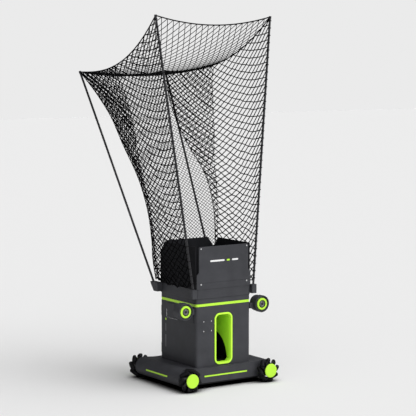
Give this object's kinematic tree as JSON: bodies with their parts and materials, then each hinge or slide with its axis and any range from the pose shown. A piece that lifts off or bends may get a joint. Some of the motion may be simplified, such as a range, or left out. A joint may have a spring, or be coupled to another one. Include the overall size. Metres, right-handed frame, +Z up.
{
  "type": "tennis ball machine",
  "caption": "Wheeled tennis ball machine: square tower with a tall launch slot, open hopper, side cameras and a tall catching net on four leaning poles.",
  "frame": {"origin": "on the floor under the centre of the machine's bounding box", "axes": "+Z up, -Y to the front where the balls leave, +X to the machine's left-right line, right as seen from the front"},
  "size_m": [0.7472, 1.1208, 1.9709],
  "materials": {
    "body_plastic": "satin moulded",
    "black_plastic": "matt",
    "hopper_plastic": "fine grain",
    "lime_light": "lit diffuser",
    "lime_gloss": "satin gloss",
    "battery_case": "wrapped cells",
    "circuit_board": "solder mask",
    "dark_metal": "powder coat",
    "black_metal": "black anodised",
    "pole_metal": "black anodised",
    "plate_metal": "powder coat",
    "motor_steel": "turned",
    "bright_steel": "zinc plated",
    "roller_rubber": "moulded",
    "flywheel_rubber": "grooved",
    "feeder_plastic": "moulded",
    "lens_glass": "coated",
    "coarse_net": "knotted twine",
    "fine_net": "fine knotted twine"
  },
  "bodies": {
    "machine": {"base_cover": "body_plastic", "base_tray": "black_plastic", "battery_pack": "battery_case", "camera_brackets": "body_plastic", "camera_lenses": "lens_glass", "camera_light_rings": "lime_light", "control_board": "circuit_board", "door_hinge_pins": "bright_steel", "drop_tube": "black_plastic", "feeder_motor": "motor_steel", "front_left_drive_motor": "motor_steel", "front_left_pole": "pole_metal", "front_light_strip": "lime_light", "front_plate": "plate_metal", "front_right_drive_motor": "motor_steel", "front_right_pole": "pole_metal", "hopper_floor": "black_plastic", "hopper_left_wall": "hopper_plastic", "hopper_rear_wall": "hopper_plastic", "hopper_right_wall": "hopper_plastic", "launcher_yoke": "black_metal", "left_camera_pod": "body_plastic", "left_net": "coarse_net", "light_ring": "lime_light", "lower_collar": "body_plastic", "plate_screws": "bright_steel", "pole_sockets": "body_plastic", "rear_left_drive_motor": "motor_steel", "rear_left_pole": "pole_metal", "rear_net": "fine_net", "rear_right_drive_motor": "motor_steel", "rear_right_pole": "pole_metal", "right_camera_pod": "body_plastic", "right_net": "coarse_net", "side_light_strips": "lime_light", "slot_bezel": "lime_gloss", "tower_front": "body_plastic", "tower_left": "body_plastic", "tower_right": "body_plastic", "upper_collar": "body_plastic"},
    "front_left_wheel": {"front_left_wheel_rim": "dark_metal", "front_left_wheel_rollers": "roller_rubber", "front_left_hub_cap": "lime_gloss"},
    "front_right_wheel": {"front_right_wheel_rim": "dark_metal", "front_right_wheel_rollers": "roller_rubber", "front_right_hub_cap": "lime_gloss"},
    "rear_left_wheel": {"rear_left_wheel_rim": "dark_metal", "rear_left_wheel_rollers": "roller_rubber", "rear_left_hub_cap": "lime_gloss"},
    "rear_right_wheel": {"rear_right_wheel_rim": "dark_metal", "rear_right_wheel_rollers": "roller_rubber", "rear_right_hub_cap": "lime_gloss"},
    "door": {"service_door": "body_plastic"},
    "button": {"power_button": "black_plastic"},
    "feeder": {"feeder_disc": "feeder_plastic"},
    "launcher": {"launcher_cradle": "black_metal", "flywheel_motors": "motor_steel"},
    "upper_wheel": {"upper_flywheel": "flywheel_rubber"},
    "lower_wheel": {"lower_flywheel": "flywheel_rubber"}
  },
  "joints": [
    {"name": "front_left_wheel_spin", "type": "hinge", "parent": "machine", "child": "front_left_wheel", "pos_m": [-0.253, -0.53042, 0.0635], "axis": [0, 1, 0], "continuous": true},
    {"name": "front_right_wheel_spin", "type": "hinge", "parent": "machine", "child": "front_right_wheel", "pos_m": [0.253, -0.53042, 0.0635], "axis": [0, 1, 0], "continuous": true},
    {"name": "rear_left_wheel_spin", "type": "hinge", "parent": "machine", "child": "rear_left_wheel", "pos_m": [-0.253, -0.03022, 0.0635], "axis": [0, 1, 0], "continuous": true},
    {"name": "rear_right_wheel_spin", "type": "hinge", "parent": "machine", "child": "rear_right_wheel", "pos_m": [0.253, -0.03022, 0.0635], "axis": [0, 1, 0], "continuous": true},
    {"name": "feeder_spin", "type": "hinge", "parent": "machine", "child": "feeder", "pos_m": [0, -0.29582, 0.5], "axis": [0, 0, 1], "continuous": true},
    {"name": "launcher_tilt", "type": "hinge", "parent": "machine", "child": "launcher", "pos_m": [0, -0.27082, 0.235], "axis": [-1, 0, 0], "range_deg": [-10, 25]},
    {"name": "upper_flywheel_spin", "type": "hinge", "parent": "launcher", "child": "upper_wheel", "pos_m": [0, -0.27082, 0.303], "axis": [1, 0, 0], "continuous": true},
    {"name": "lower_flywheel_spin", "type": "hinge", "parent": "launcher", "child": "lower_wheel", "pos_m": [0, -0.27082, 0.167], "axis": [1, 0, 0], "continuous": true},
    {"name": "service_door_hinge", "type": "hinge", "parent": "machine", "child": "door", "pos_m": [-0.1498, -0.11732, 0.273], "axis": [0, 0, 1], "range_deg": [0, 100]},
    {"name": "power_button_press", "type": "slide", "parent": "machine", "child": "button", "axis": [0, -1, 0], "range_m": [0, 0.0025], "stiffness_N_per_m": 400}
  ],
  "couplings": [
    {"joint": "lower_flywheel_spin", "follows": "upper_flywheel_spin", "ratio": -1}
  ]
}
